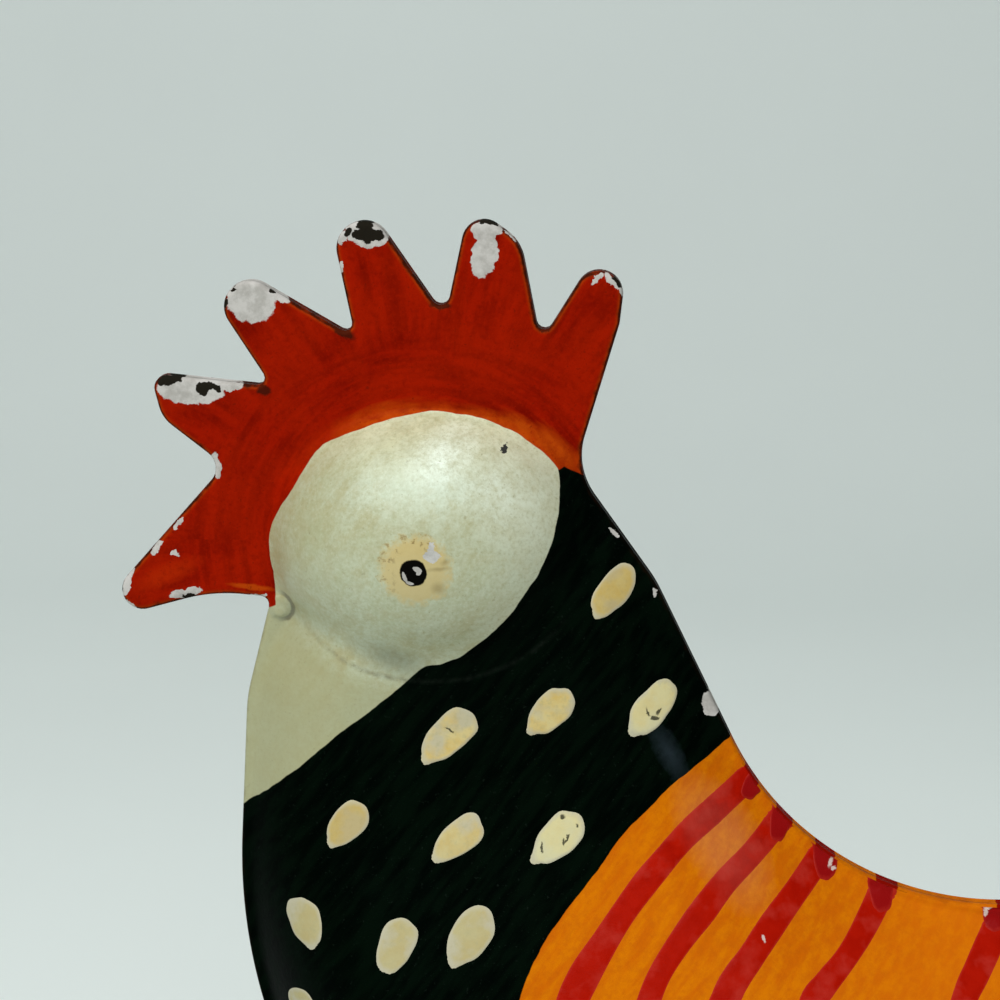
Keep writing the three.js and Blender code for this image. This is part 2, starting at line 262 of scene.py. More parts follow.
def extruded(bm, edges):
    """New verts and edges of a row of edges that is drawn out by one step."""
    made = bmesh.ops.extrude_edge_only(bm, edges=edges)["geom"]
    verts = [g for g in made if isinstance(g, bmesh.types.BMVert)]
    fresh = set(verts)
    rows = [g for g in made if isinstance(g, bmesh.types.BMEdge) and fresh.issuperset(g.verts)]
    return verts, rows


def edge_ring(bm, out):
    """Closed row of edges round the sheet's outline, with each vert's outward direction."""
    outward = bm.verts.layers.float_vector.new("outward")
    verts = []
    for point, normal in EDGE:
        v = bm.verts.new((point.x, out, point.y))
        v[outward] = (normal.x, 0, normal.y)
        verts.append(v)
    return outward, [bm.edges.new((verts[i - 1], v)) for i, v in enumerate(verts)]


def sliced(bm, faces, low, high, pitch):
    """Cuts flat faces into squares of one pitch between two corners."""
    geom = list(dict.fromkeys(g for f in faces for g in (f, *f.edges, *f.verts)))
    for axis in (0, 2):
        normal = Vector([float(k == axis) for k in range(3)])
        for k in range(round((high[axis] - low[axis]) / pitch) + 1):
            place = normal * (low[axis] + k * pitch)
            geom = bmesh.ops.bisect_plane(bm, geom=geom, dist=1e-4, plane_co=place, plane_no=normal)["geom"]
    return [g for g in geom if isinstance(g, bmesh.types.BMFace)]


def inside_box(place, low, high):
    return low[0] < place.x < high[0] and low[2] < place.z < high[2]


def in_leg_hole(place):
    away = math.hypot(place.x - LEG_X, abs(place.y) - LEG_OFFSET)
    return place.z < BELLY_TOP and away < LEG_RADIUS + HOLE_CLEARANCE


def half_sheet():
    """Half of the body in one sheet: rolled edge, flat comb and tail, swelled body and domed head."""
    bm = bmesh.new()
    outward, edges = edge_ring(bm, 0)
    before = 0
    for k in range(1, 7):
        inset = ROLL * (1 - math.cos(math.pi / 12 * k))
        verts, edges = extruded(bm, edges)
        for v in verts:
            v.co -= v[outward] * (inset - before)
        before = inset
    middle = bmesh.ops.contextual_create(bm, geom=edges)["faces"]
    middle = sliced(bm, middle, *SHEET_SQUARES)
    leg_level = float(belly_level(np.array([LEG_X]), np.array([LEG_OFFSET]))[0])
    hole_squares = ((LEG_X - 7, 0, leg_level - 7), (LEG_X + 7, 0, leg_level + 9), HOLE_PITCH)
    for low, high, pitch in (DOME_SQUARES, hole_squares):
        near = [f for f in middle if f.is_valid and inside_box(f.calc_center_median(), low, high)]
        sliced(bm, near, low, high, pitch)
    bmesh.ops.remove_doubles(bm, verts=bm.verts, dist=0.002)
    verts = list(bm.verts)
    for v, out in zip(verts, sheet_face([v.co.x for v in verts], [v.co.z for v in verts])):
        dent = DENT * abs(noise.noise(v.co / DENT_SPACING))
        v.co.y = out - dent * min(max(out - FACE, 0) / DENT_START, 1)
    holes = [f for f in bm.faces if in_leg_hole(f.calc_center_median())]
    bmesh.ops.delete(bm, geom=holes, context="FACES")
    return bm


def half_shell(sheet, side, name, material, replaced):
    """One half of the body, as a hollow sheet on its side of the seam."""
    bm = sheet.copy()
    bmesh.ops.scale(bm, verts=bm.verts, vec=(1, side, 1))
    piece = finish_mesh(bm, name, material, (HEAD_X, 0, HEAD_Z), replaced, side)
    solid = piece.modifiers.new("sheet", "SOLIDIFY")
    solid.thickness, solid.offset = SHEET * MM, -1


def seam_bead(name, material, replaced):
    """Weld bead that fills the gap between the two rolled edges, uneven along its run."""
    bm = bmesh.new()
    (before, start), *steps = BEAD
    outward, edges = edge_ring(bm, start)
    first = edges
    for inset, out in steps:
        verts, edges = extruded(bm, edges)
        for v in verts:
            v.co -= v[outward] * (inset - before)
            v.co.y = out
        before = inset
    bmesh.ops.bridge_loops(bm, edges=first + edges)
    for v in bm.verts:
        v.co -= v[outward] * BEAD_HOLLOW * abs(noise.noise(v.co / BEAD_SPACING))
    finish_mesh(bm, name, material, (HEAD_X, 0, HEAD_Z), replaced)


def mark_layers(bm):
    return bm.verts.layers.float.new("lift"), bm.verts.layers.float.new("border")


def dab(bm, layers, x, y, length, width, turn, swell=0.2, height=0.1, nib=0.18, coat=0.0, square=0.0):
    """Brush dab like a seed: broad at its upper end, with a small nib where the brush left the sheet."""
    lift, border = layers
    verts = bmesh.ops.create_circle(bm, cap_ends=False, segments=44, radius=1)["verts"]
    edges = edges_of(verts)
    whole = list(verts)
    for v in verts:
        v[lift], v[border] = -MARK_SINK, 1.0 + coat
    before = 1.0
    for share, rise in DAB_RINGS:
        verts, edges = extruded(bm, edges)
        for v in verts:
            v.co *= share / before
            v[lift], v[border] = rise * height, share + coat
        before = share
        whole += verts
    bmesh.ops.contextual_create(bm, geom=edges)
    seed = Vector((random.uniform(0, 90), random.uniform(0, 90), 0))
    turn = math.radians(turn)
    for v in whole:
        v.co *= (max(abs(v.co.x), abs(v.co.y)) / v.co.length) ** -square
        wobble = 1 + 0.11 * noise.noise(seed + v.co * 1.7)
        end = nib * min(max(-v.co.x - 0.94, 0) / 0.035, 1)
        along = (v.co.x - end) * wobble * length / 2
        across = v.co.y * wobble * (1 + swell * v.co.x + 0.16 * v.co.x ** 2) * width / 2
        place = (x + along * math.cos(turn) - across * math.sin(turn), 0)
        v.co = Vector((*place, y + along * math.sin(turn) + across * math.cos(turn)))


def path_points(points, step):
    """Points about one step apart on a smooth line through given points."""
    ends = [2 * points[0] - points[1], *points, 2 * points[-1] - points[-2]]
    line = []
    for a, b, c, d in zip(ends, ends[1:], ends[2:], ends[3:]):
        count = max(2, round((c - b).length / step))
        for k in range(count):
            t = k / count
            line.append(b + t / 2 * (c - a + t * (2 * a - 5 * b + 4 * c - d + t * (3 * (b - c) + d - a))))
    return line + [points[-1]]


def stroke(bm, layers, points):
    """Brush stroke along a line of places with widths, thin at its borders, with rounded ends."""
    lift, border = layers
    line = path_points([Vector(p) for p in points], 0.5)
    verts = [bm.verts.new((0, 0, 0)) for _ in STROKE_ROWS]
    for v, share in zip(verts, STROKE_ROWS):
        v[border] = share
    edges = [bm.edges.new(pair) for pair in zip(verts, verts[1:])]
    seed = random.uniform(0, 90)
    for k, place in enumerate(line):
        if k:
            verts, edges = extruded(bm, edges)
        ahead = (line[min(k + 1, len(line) - 1)] - line[max(k - 1, 0)]).xy.normalized()
        ends = min(k, len(line) - 1 - k)
        half = place.z / 2 * min(1, 0.7 + 0.06 * ends)
        for v in verts:
            wobble = 0.25 * noise.noise((place.x / 9, place.y / 9, seed + 3 * (v[border] > 0)))
            across = v[border] * half + wobble * abs(v[border])
            v.co = Vector((place.x - ahead.y * across, 0, place.y + ahead.x * across))
            v[lift] = -MARK_SINK if abs(v[border]) == 1 or ends == 0 else STROKE_HEIGHT


def press(bm, layers, sheet):
    """Lays flat marks, set out in x and z, on the sheet's face, and stops those that pass its edge there."""
    lift, border = layers
    skin = bvhtree.BVHTree.FromBMesh(sheet)
    for v in bm.verts:
        depth, point, normal = edge_depth(v.co.x, v.co.z)
        if depth < MARK_MARGIN:
            v.co.x, v.co.z = point - MARK_MARGIN * normal
        hit = skin.ray_cast((v.co.x, 99, v.co.z), (0, -1, 0))[0]
        if hit is None:
            hit = skin.find_nearest((v.co.x, LEG_OFFSET, v.co.z))[0]
        v.co.y = hit.y + v[lift]
        v[border] = abs(v[border])
    bmesh.ops.remove_doubles(bm, verts=bm.verts, dist=MARK_MERGE)
    slivers = [f for f in bm.faces if f.calc_area() < SLIVER]
    bmesh.ops.delete(bm, geom=slivers, context="FACES")


def leg(side, name, material, replaced):
    """Rod leg, drawn from thick wire with a slightly uneven skin."""
    bm = bmesh.new()
    verts = bmesh.ops.create_circle(bm, cap_ends=True, segments=28, radius=LEG_RADIUS)["verts"]
    edges = edges_of(verts)
    levels = [LEG_BOTTOM + (LEG_TOP - LEG_BOTTOM) * k / LEG_RINGS for k in range(LEG_RINGS + 1)]
    for v in verts:
        v.co.z = levels[0]
    for level in levels[1:]:
        verts, edges = extruded(bm, edges)
        for v in verts:
            v.co.z = level
    bmesh.ops.contextual_create(bm, geom=edges)
    for v in bm.verts:
        uneven = 1 - 0.03 * abs(noise.noise((v.co.x / 3, v.co.y / 3, v.co.z / 6)))
        v.co.x, v.co.y = v.co.x * uneven, v.co.y * uneven
    finish_mesh(bm, name, material, (HEAD_X + LEG_X, side * LEG_OFFSET, 0), replaced)


def leg_weld(side, name, material, replaced):
    """Weld collar that follows the slope of the belly round a leg, rippled by the welder's hand."""
    bm = bmesh.new()
    drop = bm.verts.layers.float.new("drop")
    (before, start), *rings = COLLAR
    verts = bmesh.ops.create_circle(bm, cap_ends=False, segments=56, radius=before)["verts"]
    edges = first = edges_of(verts)
    for v in verts:
        v[drop] = start
    for radius, depth in rings:
        verts, edges = extruded(bm, edges)
        for v in verts:
            v.co *= radius / before
            v[drop] = depth
        before = radius
    bmesh.ops.bridge_loops(bm, edges=first + edges)
    verts = list(bm.verts)
    levels = belly_level(
        np.array([LEG_X + v.co.x for v in verts]), np.array([LEG_OFFSET + side * v.co.y for v in verts])
    )
    for v, level in zip(verts, levels):
        around = math.atan2(v.co.y, v.co.x)
        ripple = 1 + 0.12 * math.sin(13 * around) + 0.1 * noise.noise(v.co)
        v.co.z = float(level) - v[drop] * ripple
    shift = (HEAD_X + LEG_X, side * LEG_OFFSET, HEAD_Z)
    finish_mesh(bm, name, material, shift, replaced)


def foot_reach(turn):
    """How far the foot plate reaches from the leg's axis in one direction."""
    reaches = []
    for angle, length in TOES:
        toward = math.cos(turn - math.radians(180 + angle + FOOT_TURN))
        best = PALM
        for k in range(41):
            centre, radius = length * k / 40, PALM + (TOE - PALM) * k / 40
            inside = radius ** 2 - centre ** 2 * (1 - toward ** 2)
            if inside > 0:
                best = max(best, centre * toward + math.sqrt(inside))
        reaches.append(best)
    return sum(r ** 16 for r in reaches) ** (1 / 16)


def foot(side, name, material, replaced):
    """Foot cut from plate: three toes forward and one back about a round palm, with eased edges."""
    bm = bmesh.new()
    verts = bmesh.ops.create_circle(bm, cap_ends=True, segments=220, radius=1)["verts"]
    for v in verts:
        turn = math.atan2(v.co.y, v.co.x)
        reach = foot_reach(turn) - FOOT_INSET
        v.co = Vector((reach * math.cos(turn), -side * reach * math.sin(turn), 0))
    made = bmesh.ops.extrude_face_region(bm, geom=list(bm.faces))["geom"]
    top = [g for g in made if isinstance(g, bmesh.types.BMVert)]
    bmesh.ops.translate(bm, verts=top, vec=(0, 0, FOOT_THICKNESS))
    level = set(top)
    rims = [e for e in bm.edges if (e.verts[0] in level) == (e.verts[1] in level)]
    bmesh.ops.bevel(
        bm, geom=rims, offset=FOOT_EASE, offset_type="OFFSET", segments=3, profile=0.5,
        affect="EDGES", material=-1,
    )
    finish_mesh(bm, name, material, (HEAD_X + LEG_X, side * LEG_OFFSET, 0), replaced)


def foot_weld(side, name, material, replaced):
    """Weld fillet round the foot of a leg, rippled by the welder's hand."""
    bm = bmesh.new()
    verts = [bm.verts.new((r, 0, z)) for r, z in FILLET]
    edges = [bm.edges.new((verts[i - 1], v)) for i, v in enumerate(verts)]
    bmesh.ops.spin(
        bm, geom=verts + edges, cent=(0, 0, 0), axis=(0, 0, 1), angle=math.tau, steps=56, use_merge=True
    )
    for v in bm.verts:
        radius = math.hypot(v.co.x, v.co.y)
        around = math.atan2(v.co.y, v.co.x)
        share = min(max((radius - 3.1) / 3, 0), 1) * (v.co.z > 3.05)
        swell = 1 + share * (0.04 * math.sin(15 * around) + 0.05 * noise.noise(v.co / 2))
        v.co.x, v.co.y = v.co.x * swell, v.co.y * swell
    finish_mesh(bm, name, material, (HEAD_X + LEG_X, side * LEG_OFFSET, 0), replaced)


def linear(code):
    """Linear colour of an sRGB hex value."""
    parts = [int(code[i:i + 2], 16) / 255 for i in (1, 3, 5)]
    return [p / 12.92 if p <= 0.04045 else ((p + 0.055) / 1.055) ** 2.4 for p in parts] + [1]


def add(tree, kind, *values, at=(), out=0, **settings):
    """Adds a node with its settings, fills or links its inputs and returns one of its outputs.

    A text value is a colour in hex.
    """
    made = tree.nodes.new("ShaderNode" + kind)
    for key, value in settings.items():
        setattr(made, key, value)
    for key, value in (dict(enumerate(values)) | dict(at)).items():
        if isinstance(value, bpy.types.NodeSocket):
            tree.links.new(value, made.inputs[key])
        else:
            made.inputs[key].default_value = linear(value) if isinstance(value, str) else value
    return made.outputs[out] if made.outputs else made


def material_tree(name):
    material = bpy.data.materials.new(name)
    material.use_nodes = True
    material.node_tree.nodes.clear()
    return material, material.node_tree


def coats(tree, base, *layers):
    """Colour of a base under coats of (share, colour), the last one on top."""
    for share, colour in layers:
        base = add(tree, "Mix", share, at={6: base, 7: colour}, out=2, data_type="RGBA")
    return base


def overlap(tree, share, *others):
    """Share of a place where several shares meet, as their product."""
    for other in others:
        share = add(tree, "Math", share, other, operation="MULTIPLY")
    return share


def shake(tree, place, scale, detail, roughness):
    """Push to all sides by a noise, of up to half a unit."""
    look = {"Vector": place, "Scale": scale, "Detail": detail, "Roughness": roughness}
    push = add(tree, "TexNoise", at=look, out=1)
    return add(tree, "VectorMath", push, (0.5, 0.5, 0.5), operation="SUBTRACT")


def nudged(tree, place, push, reach):
    """Length and height of a place that is moved by a push times a reach."""
    moved = add(tree, "VectorMath", push, (reach, reach, reach), place, operation="MULTIPLY_ADD")
    parts = add(tree, "SeparateXYZ", moved).node.outputs
    return parts[0], parts[2]


def curve_through(tree, value, points):
    """Result of a smooth curve through (value, result) points in millimetres."""
    first, last = points[0][0], points[-1][0]
    lowest, highest = min(p[1] for p in points), max(p[1] for p in points)
    curve = add(tree, "FloatCurve", at={1: add(tree, "MapRange", value, first, last)})
    line = curve.node.mapping.curves[0]
    scaled = [((v - first) / (last - first), (r - lowest) / (highest - lowest)) for v, r in points]
    line.points[0].location, line.points[-1].location = scaled[0], scaled[-1]
    for place in scaled[1:-1]:
        line.points.new(*place)
    curve.node.mapping.update()
    return add(tree, "MapRange", curve, at={3: lowest, 4: highest})


def spots(tree, place, marks):
    """Greatest share of marks (x, y, half length, half height, turn), 1 in the middle and 0 at the edge."""
    total = 0.0
    for x, y, length, height, turn in marks:
        local = add(
            tree, "Mapping", place, (x, y, 0), (0, 0, math.radians(turn)), (length, height, 1),
            vector_type="TEXTURE",
        )
        mark = add(tree, "TexGradient", local, out=1, gradient_type="SPHERICAL")
        total = add(tree, "Math", mark, total, operation="MAXIMUM")
    return total


def stain(tree, place, marks, full, most=1.0):
    """Share of soft marks, none at a mark's edge and the most where its own share is full."""
    return add(tree, "MapRange", spots(tree, place, marks), 0.0, full, 0.0, most)


# Marks of the brush, from the head's centre. Dabs, and the drops where the brush touched down on a stroke,
# are (x, y, length, width, turn), with the swell of the upper end for two that are nearly even. The tail's
# dabs sit at shares of a tip's reach. Strokes are lines of (x, y, width) that start a little before the first
# point and wrap round the sheet's edge there in a round end
DABS = [
    (27.8, -6.2, 8.6, 4.8, 50, 0.05), (3.5, -27.9, 10.7, 5.6, 46), (18.6, -24.0, 9.1, 5.1, 47),
    (33.8, -23.7, 9.4, 5.3, 51, 0.05),
    (-11.7, -41.3, 8.0, 5.0, 48), (5.1, -42.9, 9.0, 4.8, 41), (20.0, -42.5, 9.4, 5.4, 42),
    (-18.0, -56.3, 7.2, 6.0, 109), (-3.7, -57.7, 8.1, 5.4, 67), (7.3, -56.2, 9.2, 5.8, 54),
    (-18.4, -70.6, 6.8, 5.2, 112),
]
LOWER_DABS = [
    (-6.0, -72.4, 7.8, 5.5, 80), (5.2, -71.0, 7.8, 5.5, 72), (-15.6, -83.6, 7.4, 5.2, 112),
    (-4.0, -86.0, 7.6, 5.5, 90), (6.2, -85.4, 7.6, 5.3, 82), (-9.4, -97.6, 7.2, 5.2, 112),
    (2.6, -99.4, 7.4, 5.3, 98), (10.4, -110.6, 6.8, 5.0, 108), (0.2, -109.6, 6.6, 5.0, 114),
]
TAIL_DAB_SHARES, TAIL_DAB_SIZE = (0.56, 0.95), (8.6, 5.4)
STROKE_START, STROKE_WRAP = 2, 1.9
STROKES = [
    [(52.6, -32.6, 4.4), (48.2, -36.0, 4.4), (43.8, -38.9, 4.3), (39.1, -42.2, 4.3), (35.3, -46.0, 4.0),
     (31.9, -50.1, 4.0), (27.5, -56.2, 4.3), (24.3, -61.3, 5.2), (22.2, -66.5, 5.0), (20.8, -76, 4.6),
     (20.6, -88, 4.4), (23, -101, 4.4), (29, -119, 4.4)],
    [(57.8, -38.4, 4.4), (53.9, -41.9, 4.3), (49.2, -45.7, 3.9), (45.1, -48.8, 4.0), (41.8, -52.3, 4.4),
     (38.7, -56.0, 4.0), (35.4, -61.0, 3.7), (33.5, -65.5, 3.8), (31.2, -73, 4.2), (30.4, -87, 4.4),
     (32.6, -103, 4.4), (37, -124, 4.4)],
    [(62.8, -44.6, 4.2), (59.4, -48.1, 4.2), (55.1, -52.1, 4.1), (51.9, -55.2, 4.4), (49.0, -58.5, 4.4),
     (45.6, -63.0, 4.8), (42.6, -72, 4.6), (41.0, -88, 4.4), (42.8, -105, 4.4), (46, -125, 4.4)],
    [(72.6, -48.0, 4.2), (69.5, -52.9, 4.2), (66.2, -57.0, 3.8), (63.3, -60.0, 3.6), (59.8, -63.0, 4.1),
     (57.6, -65.6, 4.3), (54.9, -75, 4.4), (54.0, -88, 4.4), (55.2, -104, 4.4), (57.5, -122, 4.4)],
    [(89.8, -53.0, 4.3), (86.8, -58.0, 4.3), (83.2, -62.8, 4.3), (80.6, -66.4, 4.3), (76.2, -76, 4.4),
     (73.4, -90, 4.4), (73.2, -104, 4.4), (75.0, -118, 4.4)],
    [(99.0, -54.0, 4.4), (94.8, -67, 4.4), (91.6, -79, 4.4), (90.2, -92, 4.4), (90.8, -104, 4.4),
     (92.4, -112, 4.4)],
]
DROPS = [
    (49.0, -37.1, 3.8, 3.1, 60), (53.5, -42.2, 6.2, 3.4, 80), (60.5, -47.9, 6.6, 4.0, 92),
    (69.0, -52.6, 6.4, 4.1, 92), (86.2, -56.3, 5.4, 3.8, 85),
]

# Spots of wear and colour, here and below: (x, y, half length, half height, turn)
STROKE_CHIPS = [
    (61.2, -48.8, 0.35, 0.9, -20), (61.6, -49.7, 0.5, 0.3, 0), (85.4, -55.6, 0.9, 0.35, 10),
    (84.9, -56.3, 0.35, 0.8, 0), (50.8, -56.4, 0.22, 0.65, 30),
]
DAB_RUBS = [
    (33.2, -24.2, 0.2, 0.9, 15), (34.3, -25.2, 0.8, 0.25, -10), (34.8, -24.3, 0.25, 0.7, -40),
    (33.8, -25.1, 0.5, 0.2, 30), (20.8, -39.4, 0.45, 0.4, 0), (23.0, -40.6, 0.25, 0.4, 0),
    (21.4, -42.5, 0.2, 0.9, -30), (20.9, -43.0, 0.2, 0.6, 10), (17.7, -43.9, 0.2, 0.9, 10),
    (3.6, -27.0, 0.2, 0.9, 60),
]

# Dabs that are browner or paler than the rest
DAB_TONES = [
    ([(27.7, -6.3, 8, 8, 0), (-11.7, -41.3, 8, 8, 0)], "#A88F4A"),
    ([(33.6, -23.7, 8, 8, 0), (20.0, -42.5, 8, 8, 0)], "#D2D0A4"),
]

# Chips that bare the white primer, on the edges and on the pupil, and chips that bare the iron
PRIMER_CHIPS = [
    (-35.6, 23.0, 5.4, 2.4, -2), (-30.6, 23.6, 3.0, 0.9, -4), (-26.2, 36.7, 3.9, 3.75, 0),
    (-22.9, 38.0, 2.8, 0.8, -42), (-8.6, 46.2, 3.1, 1.95, 0), (-9.4, 47.6, 3.4, 1.2, 0),
    (-12.4, 45.8, 0.7, 1.2, -25), (-12.7, 41.3, 0.4, 0.9, 8), (8.4, 43.4, 1.9, 3.6, -12),
    (8.7, 46.9, 2.3, 1.6, 0), (12.0, 46.8, 0.5, 2.0, 42), (24.9, 39.9, 0.3, 1.3, -45),
    (27.2, 39.6, 1.6, 0.6, -40), (28.3, 38.8, 0.3, 1.3, 22), (-46.0, -6.9, 0.6, 2.7, -22),
    (-45.6, -10.4, 1.0, 0.4, -40), (-41.3, -1.5, 0.5, 1.5, -37), (-37.9, 2.4, 0.35, 1.4, -36),
    (-38.5, -2.2, 0.55, 0.45, 20), (-37.0, -8.4, 2.6, 0.75, 12), (-26.2, -8.6, 1.4, 0.3, 3),
    (-32.1, 11.4, 0.85, 2.1, 8), (27.7, 2.0, 0.9, 0.35, -40), (33.8, -7.0, 0.35, 0.7, 20),
    (42.6, -24.2, 1.4, 2.0, 25), (1.75, 1.4, 1.15, 0.85, 5), (1.8, 2.4, 0.6, 0.8, 10),
]
PUPIL_CHIPS = [
    (-0.3, -0.7, 0.7, 0.4, -20), (-0.1, -1.2, 0.45, 0.3, 30), (-2.2, -1.9, 0.3, 0.9, 20),
    (-1.4, -2.75, 0.7, 0.25, -10),
]
IRON_CHIPS = [
    (-33.8, 22.9, 1.0, 0.9, 0), (-32.6, 23.5, 1.8, 0.5, -8), (-31.6, 23.1, 0.8, 0.6, -20),
    (-38.6, 24.3, 2.4, 0.7, 14), (-8.8, 46.15, 2.45, 1.05, 0), (-9.2, 47.7, 1.2, 0.9, 0),
    (-11.7, 46.7, 0.8, 0.55, 45), (9.6, 48.2, 2.0, 0.6, -8), (12.6, 46.9, 0.35, 1.6, 40),
    (27.8, 39.5, 1.0, 0.35, -48), (-28.8, 38.0, 0.45, 0.3, 40), (-30.1, 35.8, 0.3, 0.9, 0),
    (-22.9, 37.5, 0.6, 0.25, -35), (-47.2, -7.7, 0.5, 1.5, -10), (-36.7, -8.8, 1.0, 0.35, 5),
    (11.5, 15.3, 0.5, 0.5, 0),
]

# Painted shade and grime in the comb's notches, down its back edge and under its front tip
NOTCH_SHADE_AND_GRIME = [
    (-24.7, 22.9, 1.3, 1.0, 0), (-12.6, 31.9, 2.4, 1.0, -30), (1.9, 36.0, 1.9, 1.0, -10),
    (17.2, 32.6, 1.3, 0.8, 0), (28.6, 34.7, 0.4, 1.4, 8), (27.9, 31.6, 0.4, 1.0, 14),
    (-41.0, 20.9, 0.5, 1.4, 0),
]

# Eye with its rubs and pupil, cream that laps over the red at the temple, painted shade at the dome's foot,
# painted highlights on the dome, a scuff and a painted highlight on the beak, a painted reflection on the
# neck's back, and a painted reflection below the neck
EYE, PUPIL = [(-0.7, -0.9, 5.9, 5.8, 0)], [(-0.9, -1.2, 2.1, 2.1, 0)]
EYE_RUBS = [(2.9, -0.6, 2.2, 0.45, 4), (3.7, 0.4, 0.9, 0.7, 30), (2.7, -3.5, 1.4, 1.2, 0)]
TEMPLE = [(-20.2, 8.8, 10.0, 6.5, 55), (-9.3, 19.8, 11.0, 6.5, 24)]
DOME_SHADE = [(-4.6, -16.4, 8.6, 3.4, -22)]
TOP_HIGHLIGHT, BACK_HIGHLIGHT = [(3.2, 14.8, 7.0, 4.6, 20)], [(11.6, 9.6, 11.0, 7.0, -50)]
BEAK_SCUFF, BEAK_HIGHLIGHT = [(-27.0, -7.3, 4.2, 0.55, -6)], [(-39.6, -5.4, 6.4, 2.0, 24)]
NECK_REFLECTION, REFLECTION_BAND = [(36.4, -30.4, 2.0, 6.4, 30)], [(44.6, -43.6, 12.5, 5.5, -55)]
GROOVE = [(NUB[0], NUB[1], 1.35 * NUB[2], 1.35 * NUB[2], 0)]


def edge_crossing(points):
    """Place where a stroke's line passes the sheet's edge."""
    first, second = Vector(points[0][:2]), Vector(points[1][:2])
    line = [second.lerp(first, k / 20) for k in range(31)]
    return min(line, key=lambda place: abs(edge_depth(*place)[0]))


# Lines where the paints meet. The red ends at brow and nape, as (slope, level at the head's centre), and round
# the dome down to the cheek's level. The cream's line is measured along and across a slanted one from the
# throat, the other two give x for a level
BROW_LINE, NAPE_LINE = (0.502, 1.9), (-0.46, 21.4)
CHEEK_LEVEL = -4.6
CREAM_START, CREAM_TURN = (-29.0, -41.6), math.radians(48.1)
CREAM_LINE = [
    (0, 0), (12.1, -1.95), (17.5, -2.4), (22.3, -3.05), (27.0, -4.0), (32.1, -4.65), (36.8, -5.2),
    (39.4, -6.9), (40.7, -7.45), (43.9, -8.5), (50.3, -9.0), (56.3, -8.6), (62.0, -7.4), (67.1, -5.0),
    (70.2, -2.5), (72.3, 0.0),
]
ORANGE_LINE = [
    (-130, 22.0), (-115.7, 17.9), (-92.7, 14.1), (-80.9, 12.5), (-72.6, 13.0), (-64.5, 15.0), (-57.8, 17.8),
    (-53.7, 20.6), (-48.2, 25.0), (-42.5, 29.3), (-37.7, 33.7), (-33.4, 39.6), (-29.6, 45.3), (-25, 52.0),
]
TAIL_LINE = [(-130, 113.0), (-110, 112.0), (-90, 110.0), (-70, 106.0), (-50, 99.0), (-35, 92.0)]

# Unevenness of the paint as noise of (scale, detail, roughness): blotches of about 11 mm, mottling of about
# 2.5 mm, a grain of about 1 mm, specks of about 0.6 mm and dust of about 0.5 mm
PATTERNS = ((0.09, 4.0, 0.5), (0.4, 6.0, 0.7), (1.0, 5.0, 0.65), (1.7, 4.0, 0.7), (2.0, 2.0, 0.5))
IN_MM = (1 / MM, 1 / MM, 1 / MM)
SOFT = {"interpolation_type": "SMOOTHSTEP"}


